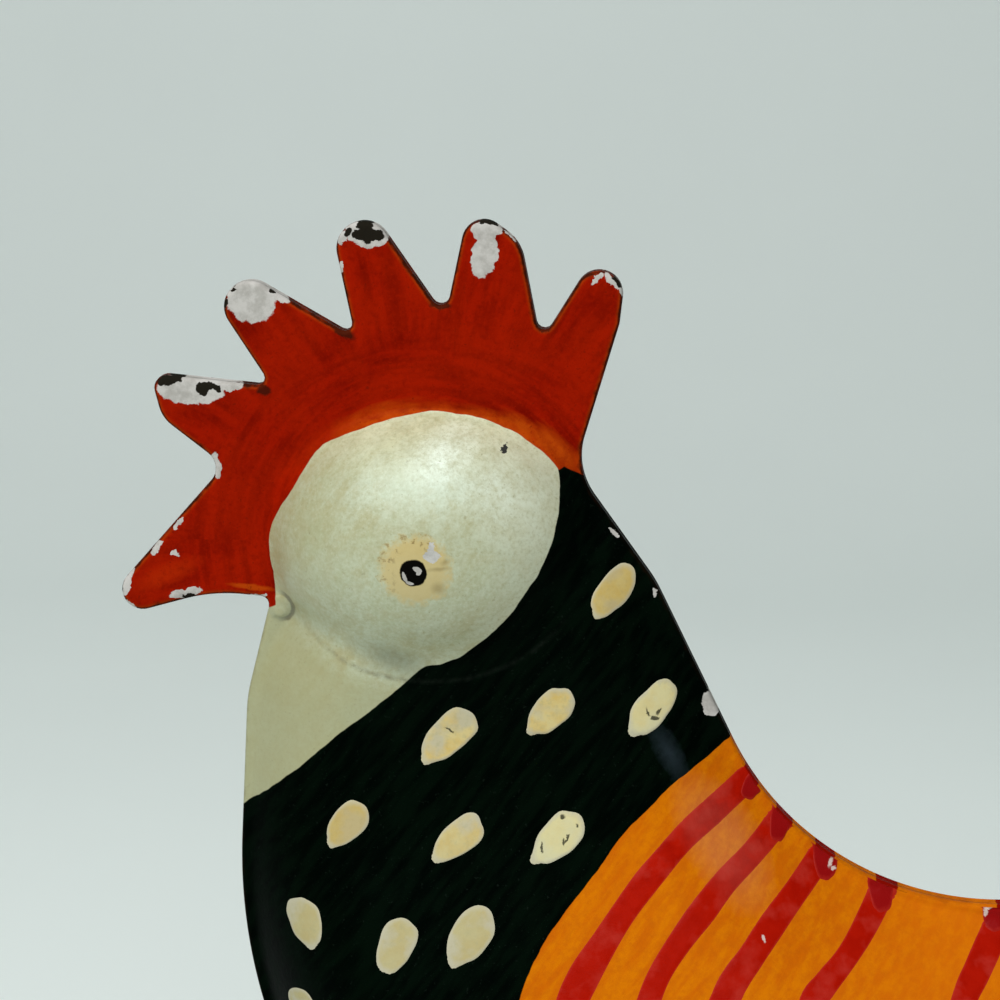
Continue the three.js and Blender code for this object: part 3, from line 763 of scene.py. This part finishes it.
def shell_enamel():
    """Enamel brushed by hand over white primer: half glossy, streaked along the form, stained and chipped."""
    material, tree = material_tree("hand_brushed_enamel")
    where = add(tree, "TexCoord", out="Object")
    place = add(tree, "Mapping", where, (-HEAD_X, 0, -HEAD_Z), at={"Scale": IN_MM})
    exact = add(tree, "SeparateXYZ", place).node.outputs
    out = add(tree, "Math", exact[1], operation="ABSOLUTE")

    # Places moved a little: 0.4 mm for the brush's edge, 0.9 mm for ragged chips and 0.3 mm for the pupil
    x, y = nudged(tree, place, shake(tree, place, 0.2, 3.0, 0.5), 0.8)
    flat = add(tree, "CombineXYZ", x, y)
    tear = shake(tree, place, 0.7, 4.0, 0.6)
    ragged, crisp = [add(tree, "CombineXYZ", *nudged(tree, place, tear, reach)) for reach in (1.8, 0.6)]

    # Shares of the paints
    lifted = add(tree, "CombineXYZ", x, add(tree, "Math", y, CHEEK_LEVEL, operation="MAXIMUM"))
    rings = []
    for spot in (flat, lifted):
        scaled = add(tree, "VectorMath", spot, (1 / DOME_LENGTH, 1 / DOME_HEIGHT, 0), operation="MULTIPLY")
        rings.append(add(tree, "VectorMath", scaled, out=1, operation="LENGTH"))
    ring, cheek = rings
    brow, nape = [add(tree, "Math", x, *line, operation="MULTIPLY_ADD") for line in (BROW_LINE, NAPE_LINE)]
    brow = add(tree, "Math", brow, nape, operation="MINIMUM")
    above = add(tree, "MapRange", add(tree, "Math", y, brow, operation="SUBTRACT"), -0.1, 0.1, **SOFT)
    above = overlap(tree, above, add(tree, "MapRange", x, 44.0, 46.0, 1.0, 0.0))
    cheek = add(tree, "Math", spots(tree, flat, TEMPLE), 0.06, cheek, operation="MULTIPLY_ADD")
    cheek = add(tree, "Math", add(tree, "MapRange", y, 11.0, 17.0, 0.0, -0.02), cheek, operation="ADD")
    red_share = overlap(tree, above, add(tree, "MapRange", cheek, 0.993, 0.999, **SOFT))
    slanted = add(tree, "Mapping", flat, (*CREAM_START, 0), (0, 0, CREAM_TURN), vector_type="TEXTURE")
    slanted = add(tree, "SeparateXYZ", slanted).node.outputs
    shares = []
    for value, along, line in ((slanted[1], slanted[0], CREAM_LINE), (x, y, ORANGE_LINE), (x, y, TAIL_LINE)):
        past = add(tree, "Math", value, curve_through(tree, along, line), operation="SUBTRACT")
        shares.append(add(tree, "MapRange", past, -0.08, 0.08, **SOFT))
    cream_share, orange_share, tail_share = shares

    # Brush streaks 1.4 mm wide and 9 mm long, slanted on the body, round the dome and out along the tips
    combed = add(
        tree, "Mapping", place, (0, 0, 0), (0, math.radians(-52), 0), (9, 3, 1.4), vector_type="TEXTURE"
    )
    streak = add(tree, "TexNoise", at={"Vector": combed, "Scale": 1.0, "Detail": 5.0})
    spread = add(tree, "Math", exact[2], exact[0], operation="ARCTAN2")
    reach = add(tree, "VectorMath", add(tree, "CombineXYZ", exact[0], exact[2]), out=1, operation="LENGTH")
    round_dome = add(tree, "CombineXYZ", spread, reach, out)
    strokes = []
    for scale in ((3.0, 0.7, 0.4), (22.0, 0.1, 0.4)):
        brushed = add(tree, "VectorMath", round_dome, scale, operation="MULTIPLY")
        strokes.append(add(tree, "TexNoise", at={"Vector": brushed, "Scale": 1.0, "Detail": 4.0}))
    outward = add(tree, "MapRange", ring, 1.35, 1.7, **SOFT)
    comb_streak = add(tree, "Mix", outward, at={2: strokes[0], 3: strokes[1]})
    blotch, mottle, grain, speck, dust = [
        add(tree, "TexNoise", at={"Vector": place, "Scale": scale, "Detail": detail, "Roughness": roughness})
        for scale, detail, roughness in PATTERNS
    ]
    dust = add(tree, "MapRange", dust, 0.66, 0.76, 0.0, 0.5)
    streaked = add(tree, "MapRange", streak, 0.34, 0.66, **SOFT)
    blotched = add(tree, "MapRange", blotch, 0.38, 0.64, **SOFT)
    mottled = add(tree, "MapRange", mottle, 0.38, 0.66, **SOFT)
    grainy = add(tree, "MapRange", grain, 0.42, 0.7, 0.0, 0.5)
    specked = add(tree, "MapRange", speck, 0.5, 0.72, 0.0, 0.5)
    pale = add(tree, "MapRange", speck, 0.48, 0.28, 0.0, 0.5)

    # Red turns orange where it meets the dome: a painted highlight on the upward-facing foot of the dome
    stroked = add(tree, "MapRange", comb_streak, 0.32, 0.66, **SOFT)
    orange_highlight_and_scuff = add(tree, "Math", comb_streak, -0.16, ring, operation="MULTIPLY_ADD")
    orange_highlight_and_scuff = add(tree, "Math", add(tree, "MapRange", x, 4.0, 18.0, 0.0, -0.09), orange_highlight_and_scuff, operation="ADD")
    orange_highlight_and_scuff = overlap(
        tree, add(tree, "MapRange", orange_highlight_and_scuff, 1.02, 0.93, 0.0, 0.85),
        add(tree, "MapRange", mottle, 0.36, 0.56, 0.45, 1.0), add(tree, "MapRange", y, 9.0, 15.0, **SOFT),
        add(tree, "MapRange", x, -15.0, -9.0, 0.1, 1.0),
    )
    scuff = stain(tree, crisp, BEAK_SCUFF, 0.5, 0.7)
    orange_highlight_and_scuff = add(tree, "Math", orange_highlight_and_scuff, scuff, operation="MAXIMUM")
    # Painted highlight: lighter red near the beak's tip
    beak_highlight = stain(tree, ragged, BEAK_HIGHLIGHT, 0.7, 0.6)
    red = coats(
        tree, "#6C0A01", (overlap(tree, stroked, 0.85), "#961502"), (overlap(tree, mottled, 0.25), "#861001"),
        (overlap(tree, blotched, 0.5), "#991A02"), (beak_highlight, "#A42604"),
        (add(tree, "MapRange", grain, 0.5, 0.3, 0.0, 0.4), "#640801"),
        (add(tree, "MapRange", speck, 0.5, 0.72, 0.0, 0.35), "#A01E04"), (orange_highlight_and_scuff, "#B04408"),
        (dust, "#5E1004"),
    )

    # Cream is stained at the dome's edge, darker down the throat, and painted palest on top of the dome as
    # painted light
    stained = overlap(
        tree, add(tree, "MapRange", ring, 0.6, 0.98, 0.1, 0.48),
        add(tree, "MapRange", ring, 1.25, 1.05, 0.5, 1.0), add(tree, "MapRange", y, 7.0, 15.0, 1.0, 0.5),
        add(tree, "MapRange", x, -20.0, 14.0, 1.35, 0.7), mottled,
        add(tree, "MapRange", blotch, 0.68, 0.4, 0.35, 1.0),
    )
    # Painted light: cream made paler towards the top of the dome
    crown = add(tree, "MapRange", y, 11.0, 17.5, 0.0, 0.7)
    crown = overlap(tree, crown, add(tree, "MapRange", mottle, 0.62, 0.4, 0.3, 1.0))
    throat = add(tree, "MapRange", ring, 0.99, 1.14, 0.0, 0.7)
    throat = overlap(tree, throat, add(tree, "MapRange", y, -4.0, -12.0))
    # Painted highlights: pale patches on the top and on the back of the dome
    dome_highlight = stain(tree, ragged, TOP_HIGHLIGHT, 0.8, 0.75)
    side = stain(tree, ragged, BACK_HIGHLIGHT, 1.0, 0.5)
    dome_highlight = add(tree, "Math", dome_highlight, side, operation="MAXIMUM")
    dome_highlight = overlap(tree, dome_highlight, add(tree, "MapRange", mottle, 0.62, 0.42, 0.35, 1.0))
    # Painted shade under the foot of the dome
    dome_shade = stain(tree, ragged, DOME_SHADE, 0.8, 0.52)
    cream = coats(
        tree, "#ADB18E", (blotched, "#B4BA9E"), (mottled, "#AAA983"),
        (overlap(tree, streaked, 0.5), "#BAC0A6"), (grainy, "#A7A682"), (pale, "#C4C9B0"),
        (stained, "#A09364"), (crown, "#CFCCA6"), (dome_highlight, "#E6F0E0"),
        # Painted shade on the left of the head and painted light on its right
        (throat, "#9A9870"), (add(tree, "MapRange", x, -8.0, -20.0, 0.0, 0.4), "#98946C"),
        (add(tree, "MapRange", x, 7.0, 18.0, 0.0, 0.4), "#C8CAB4"),
        (specked, "#95926A"), (dome_shade, "#626246"), (dust, "#8A8460"),
    )

    # Strokes wrap round the sheet's edge, and a painted reflection lies on the black behind the neck
    ends = [(*edge_crossing(points), STROKE_WRAP, STROKE_WRAP, 0) for points in STROKES]
    wrapped = stain(tree, crisp, ends, 0.06)
    wrapped = overlap(tree, wrapped, add(tree, "MapRange", out, 1.85, 1.75))
    neck_reflection = stain(tree, ragged, NECK_REFLECTION, 1.0, 0.6)
    neck_reflection = overlap(tree, neck_reflection, add(tree, "MapRange", orange_share, 1.0, 0.0))
    black = coats(tree, "#010402", (streaked, "#030B05"), (dust, "#161D18"))
    orange = coats(
        tree, "#BE5E05", (streaked, "#C86E04"), (grainy, "#B05608"),
        (add(tree, "MapRange", x, 58.0, 80.0, 0.0, 0.4), "#CE6A0A"),
        # Painted reflection: a faint pale band across the orange below the neck
        (stain(tree, ragged, REFLECTION_BAND, 0.6, 0.045), "#D8CCC0"),
    )
    colour = coats(
        tree, black, (orange_share, orange), (tail_share, black), (wrapped, "#840A01"), (neck_reflection, "#2A343A"),
        (cream_share, cream), (red_share, red),
    )

    # Eye: a mottled tan stain 11 mm across with a worn black pupil
    rough_edge = add(tree, "MapRange", grain, 0.2, 0.8, -0.2, 0.2)
    eye = spots(tree, ragged, EYE)
    iris = add(tree, "MapRange", add(tree, "Math", eye, rough_edge, operation="ADD"), 0.0, 0.26, 0.0, 0.85)
    iris = overlap(tree, iris, add(tree, "MapRange", eye, 0.0, 0.03))
    corner = add(tree, "Math", y, x, operation="SUBTRACT")
    fleck = overlap(
        tree, add(tree, "MapRange", corner, -2.0, 3.0), add(tree, "MapRange", eye, 0.5, 0.3),
        add(tree, "MapRange", grain, 0.54, 0.6), iris,
    )
    rubs = stain(tree, crisp, EYE_RUBS, 0.8, 0.7)
    pupil = stain(tree, crisp, PUPIL, 0.08)

    # Painted shade with dirt in the crease under the dome and round the boss behind the beak
    crease_shade_and_dirt = add(tree, "Math", add(tree, "Math", ring, 0.99, operation="SUBTRACT"), operation="ABSOLUTE")
    crease_shade_and_dirt = overlap(
        tree, add(tree, "MapRange", crease_shade_and_dirt, 0.028, 0.0, 0.0, 0.5),
        add(tree, "MapRange", grain, 0.35, 0.6, 0.15, 1.0), add(tree, "MapRange", y, -9.0, -14.0),
    )
    # A grey line of dust and painted highlight along the crease on the black
    dust_and_highlight = overlap(tree, crease_shade_and_dirt, 0.2)
    crease_shade_and_dirt = overlap(tree, crease_shade_and_dirt, cream_share, add(tree, "MapRange", x, -17.0, -9.0, 0.1, 1.0))
    boss = spots(tree, crisp, GROOVE)
    # Painted shade on the right side of the ring round the boss
    boss_ring_shade = overlap(
        tree, add(tree, "MapRange", boss, 0.0, 0.12, **SOFT), add(tree, "MapRange", boss, 0.4, 0.28, **SOFT),
        add(tree, "MapRange", x, -23.2, -21.6, 0.0, 0.75), cream_share,
    )
    crease_shade_and_dirt = add(tree, "Math", crease_shade_and_dirt, boss_ring_shade, operation="MAXIMUM")

    # Paint worn thin along the sheet's edge with a painted highlight, painted shade and grime in the notches,
    # and chipped to primer and iron
    torn = add(tree, "SeparateXYZ", tear).node.outputs[2]
    rim = add(tree, "Math", torn, 0.4, out, operation="MULTIPLY_ADD")
    rim = add(tree, "MapRange", rim, 1.74, 1.6, 0.0, 0.94)
    # Red painted orange just inside the edge: paint worn thin and a painted highlight on the rounded edge
    thinned_edge_highlight = overlap(tree, add(tree, "MapRange", out, 1.79, 1.71, 0.0, 0.5), red_share)
    notch_shade_and_grime = stain(tree, ragged, NOTCH_SHADE_AND_GRIME, 0.35, 0.85)
    worn = add(tree, "MapRange", mottle, 0.4, 0.6, 0.0, 0.25)
    patchy = overlap(tree, above, add(tree, "MapRange", mottle, 0.36, 0.54, 0.45, 1.0))
    worn = add(tree, "Math", worn, patchy, operation="MAXIMUM")
    rim = add(tree, "Math", overlap(tree, rim, worn), notch_shade_and_grime, operation="MAXIMUM")
    primer = stain(tree, ragged, PRIMER_CHIPS, 0.06)
    flakes = stain(tree, crisp, PUPIL_CHIPS, 0.1)
    primer = add(tree, "Math", primer, flakes, operation="MAXIMUM")
    iron = stain(tree, ragged, IRON_CHIPS, 0.08)
    soiled = coats(tree, "#BCB9B4", (mottled, "#A3A09A"))
    colour = coats(
        tree, colour, (iris, "#C0AA6E"), (fleck, "#7A6434"), (rubs, "#94824E"), (pupil, "#0A0907"),
        (dust_and_highlight, "#3A3E38"), (crease_shade_and_dirt, "#5A5034"), (thinned_edge_highlight, "#A23A08"), (rim, "#2A1209"), (primer, soiled),
        (iron, "#1E1B15"),
    )

    # Cream is the glossiest of the paints, bare primer and iron are dull
    bare = add(tree, "Math", primer, iron, operation="MAXIMUM")
    rough = add(tree, "MapRange", streak, 0.3, 0.7, 0.3, 0.4)
    rough = add(tree, "Math", bare, 0.3, rough, operation="MULTIPLY_ADD")
    sheen = overlap(
        tree, add(tree, "MapRange", red_share, 1.0, 0.0), cream_share, add(tree, "MapRange", pupil, 1.0, 0.0)
    )
    sheen = add(tree, "MapRange", sheen, at={"To Min": 0.005, "To Max": 0.66})
    relief = add(tree, "Math", streak, 0.5, grainy, operation="MULTIPLY_ADD")
    relief = add(tree, "Math", bare, -1.0, relief, operation="MULTIPLY_ADD")
    bump = add(tree, "Bump", at={"Strength": 0.3, "Distance": 0.00012, "Height": relief})
    look = {"Base Color": colour, "Roughness": rough, "Normal": bump}
    look |= {"Specular IOR Level": sheen, "Specular Tint": "#E0FCFF"}
    add(tree, "OutputMaterial", add(tree, "BsdfPrincipled", at=look))
    return material


def mark_enamel(name, middle, streaky, low, border, twice, wear, beneath, tones=()):
    """Thick enamel of a brush mark: thin and paler at its border, dark where brushed twice, worn in spots."""
    material, tree = material_tree(name)
    where = add(tree, "TexCoord", out="Object")
    place = add(tree, "Mapping", where, (-HEAD_X, 0, -HEAD_Z), at={"Scale": IN_MM})
    edge_share = add(tree, "Attribute", out="Fac", attribute_name="border")
    soft = add(tree, "TexNoise", at={"Vector": place, "Scale": 0.35, "Detail": 5.0, "Roughness": 0.6})
    grain = add(tree, "TexNoise", at={"Vector": place, "Scale": 1.3, "Detail": 5.0, "Roughness": 0.7})
    thin = add(tree, "TexNoise", at={"Vector": place, "Scale": 0.24, "Detail": 3.0})
    torn = add(tree, "CombineXYZ", *nudged(tree, place, shake(tree, place, 0.9, 4.0, 0.7), 1.2))
    edge = add(tree, "Math", grain, 0.25, edge_share, operation="MULTIPLY_ADD")
    lower = add(tree, "MapRange", add(tree, "SeparateXYZ", place, out=2), -34.0, -54.0, 0.0, 0.66)
    second = add(tree, "MapRange", edge_share, 1.02, 1.1, 0.0, 0.9)
    second = overlap(tree, second, add(tree, "MapRange", edge, 2.12, 1.9, 0.3, 1.0))
    toned = [(stain(tree, torn, marks, 0.2, 0.5), tone) for marks, tone in tones]
    colour = coats(
        tree, middle, (add(tree, "MapRange", soft, 0.36, 0.6), streaky), (lower, low),
        (add(tree, "MapRange", thin, 0.48, 0.64, 0.0, 0.75), border),
        (add(tree, "MapRange", grain, 0.5, 0.72, 0.0, 0.45), low), *toned,
        (add(tree, "MapRange", edge, 0.9, 1.1, 0.0, 0.85), border), (second, twice),
        # Painted reflection: the same faint pale band across the strokes
        (stain(tree, torn, REFLECTION_BAND, 0.6, 0.035), "#E4B4A4"),
        (stain(tree, torn, wear, 0.4, 0.9), beneath),
    )
    bump = add(tree, "Bump", at={"Strength": 0.4, "Distance": 0.0001, "Height": grain})
    rough = add(tree, "MapRange", soft, 0.3, 0.7, 0.28, 0.4)
    look = {"Base Color": colour, "Roughness": rough, "Normal": bump, "Specular IOR Level": 0.03}
    add(tree, "OutputMaterial", add(tree, "BsdfPrincipled", at=look))
    return material


def rod_finish(name, base, streaky, dark, low, high, rough):
    """Finish of the rods and plates: brushed enamel or mill scale, uneven, worn to dark iron in spots."""
    material, tree = material_tree(name)
    where = add(tree, "TexCoord", out="Object")
    place = add(tree, "Mapping", where, at={"Scale": IN_MM})
    soft = add(tree, "TexNoise", at={"Vector": place, "Scale": 0.25, "Detail": 4.0})
    grain = add(tree, "TexNoise", at={"Vector": place, "Scale": 1.1, "Detail": 6.0, "Roughness": 0.7})
    worn = add(tree, "MapRange", overlap(tree, grain, soft), low, high)
    colour = coats(tree, base, (add(tree, "MapRange", soft, 0.35, 0.65), streaky), (worn, dark))
    gloss = add(tree, "Math", worn, 0.25, rough, operation="MULTIPLY_ADD")
    bump = add(tree, "Bump", at={"Strength": 0.4, "Distance": 0.00015, "Height": grain})
    look = {"Base Color": colour, "Roughness": gloss, "Normal": bump}
    add(tree, "OutputMaterial", add(tree, "BsdfPrincipled", at=look))
    return material


def cream_marks(sheet):
    """Cream dabs of the neck and the tail."""
    bm = bmesh.new()
    layers = mark_layers(bm)
    for mark in DABS + LOWER_DABS:
        dab(bm, layers, *mark)
    for angle, reach in zip(TAIL_ANGLES, TAIL_REACHES):
        for share in TAIL_DAB_SHARES:
            x, y, _ = tail_point(angle, reach * share, 0)
            dab(bm, layers, x, y, *TAIL_DAB_SIZE, angle)
    press(bm, layers, sheet)
    return bm


def red_marks(sheet):
    """Red strokes of the body, each with a second, darker touch of the brush at the back's edge."""
    bm = bmesh.new()
    layers = mark_layers(bm)
    for points in STROKES:
        first, second = Vector(points[0]), Vector(points[1])
        stroke(bm, layers, [first + STROKE_START * (first - second).normalized(), *points])
    for mark in DROPS:
        dab(bm, layers, *mark, height=0.14, nib=0.0, coat=1.0, square=0.25)
    press(bm, layers, sheet)
    return bm


def half_marks(marks, side, name, material):
    """Brush marks on one half, on its side of the seam."""
    bm = marks.copy()
    bmesh.ops.scale(bm, verts=bm.verts, vec=(1, side, 1))
    finish_mesh(bm, name, material, (HEAD_X, 0, HEAD_Z), facing=side)


enamel = shell_enamel()
cream_dab = mark_enamel(
    "cream_dab_enamel", "#C6AB66", "#CBBA82", "#A09C78", "#B2AE98", "#C6AB66", DAB_RUBS, "#2A2A20", DAB_TONES
)
red_stroke = mark_enamel(
    "red_stroke_enamel", "#930C01", "#AB1503", "#9D1002", "#AA2A20", "#84070A", STROKE_CHIPS, "#C9BAB2"
)
leg_paint = rod_finish("brushed_leg_enamel", "#C27A18", "#CF8E2A", "#2B261C", 0.36, 0.4, 0.3)
mill_scale = rod_finish("bare_iron_mill_scale", "#2A2823", "#393630", "#5A3A22", 0.36, 0.42, 0.55)
sheet = half_sheet()
dabs, strokes = cream_marks(sheet), red_marks(sheet)
for side, label in ((-1, "left"), (1, "right")):
    half_shell(sheet, side, label + "_half_shell", enamel, label + "_shell")
    half_marks(dabs, side, label + "_cream_dabs", cream_dab)
    half_marks(strokes, side, label + "_red_strokes", red_stroke)
    leg(side, label + "_rod_leg", leg_paint, label + "_leg")
    leg_weld(side, label + "_weld_collar", leg_paint, label + "_leg_weld")
    foot(side, label + "_plate_foot", leg_paint, label + "_foot")
    foot_weld(side, label + "_weld_fillet", leg_paint, label + "_foot_weld")
seam_bead("seam_bead", enamel, "seam_weld")
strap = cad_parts["leg_strap"]
strap.data.materials.clear()
strap.data.materials.append(mill_scale)


def sweep():
    """Pale paper that runs from the floor up a wall behind the rooster."""
    material, tree = material_tree("pale_backdrop_paper")
    where = add(tree, "TexCoord", out="Object")
    soft = add(tree, "TexNoise", at={"Vector": where, "Scale": 3.0, "Detail": 3.0})
    colour = coats(tree, "#E9F1EE", (add(tree, "MapRange", soft, 0.3, 0.7), "#EDF5F2"))
    shader = add(tree, "BsdfPrincipled", at={"Base Color": colour, "Roughness": 0.9})
    add(tree, "OutputMaterial", shader)
    bm = bmesh.new()
    half, front, start, radius, top, steps = 4, -2.5, 0.75, 0.6, 3.5, 24
    left, right = bm.verts.new((-half, front, 0)), bm.verts.new((half, front, 0))
    edges = [bm.edges.new((left, right))]
    line = [(start, 0)]
    for k in range(1, steps + 1):
        turn = math.pi / 2 * k / steps
        line.append((start + radius * math.sin(turn), radius - radius * math.cos(turn)))
    for y, z in line + [(start + radius, top)]:
        verts, edges = extruded(bm, edges)
        for v in verts:
            v.co.y, v.co.z = y, z
    for face in bm.faces:
        face.smooth = True
    mesh = bpy.data.meshes.new("paper_sweep")
    bm.to_mesh(mesh)
    bm.free()
    mesh.materials.append(material)
    paper = bpy.data.objects.new("paper_sweep", mesh)
    bpy.context.scene.collection.objects.link(paper)


def lamp(name, place, aim, size, power):
    """Rectangular light that faces a place."""
    light = bpy.data.lights.new(name, "AREA")
    light.shape, light.size, light.size_y, light.energy = "RECTANGLE", *size, power
    holder = bpy.data.objects.new(name, light)
    holder.location = place
    holder.rotation_euler = (Vector(aim) - Vector(place)).to_track_quat("-Z", "Y").to_euler()
    bpy.context.scene.collection.objects.link(holder)


sweep()
lamp("softbox", (-0.32, -0.78, 1.35), (-0.05, 0.1, 0.15), (1.4, 1.0), 27)
world = bpy.data.worlds.new("dim_room")
world.use_nodes = True
room = world.node_tree.nodes["Background"].inputs
room["Color"].default_value = linear("#C9D2D0")
room["Strength"].default_value = 0.2
bpy.context.scene.world = world
bpy.context.scene.view_settings.view_transform = "Standard"

# Camera: a phone held a little above the head, looking down by 12 degrees and turned by 4
TARGET, DISTANCE = Vector((-0.05414, 0, 0.20305)), 0.3858
TURN, RISE, FIELD, SENSOR = math.radians(4), math.radians(12), math.radians(22), 36
back = Vector((math.sin(TURN) * math.cos(RISE), -math.cos(TURN) * math.cos(RISE), math.sin(RISE)))
lens = bpy.data.cameras.new("camera")
lens.sensor_width = SENSOR
lens.lens = SENSOR / 2 / math.tan(FIELD / 2)
lens.clip_start = 0.01
camera = bpy.data.objects.new("camera", lens)
camera.location = TARGET + back * DISTANCE
camera.rotation_euler = (-back).to_track_quat("-Z", "Y").to_euler()
bpy.context.scene.collection.objects.link(camera)
bpy.context.scene.camera = camera
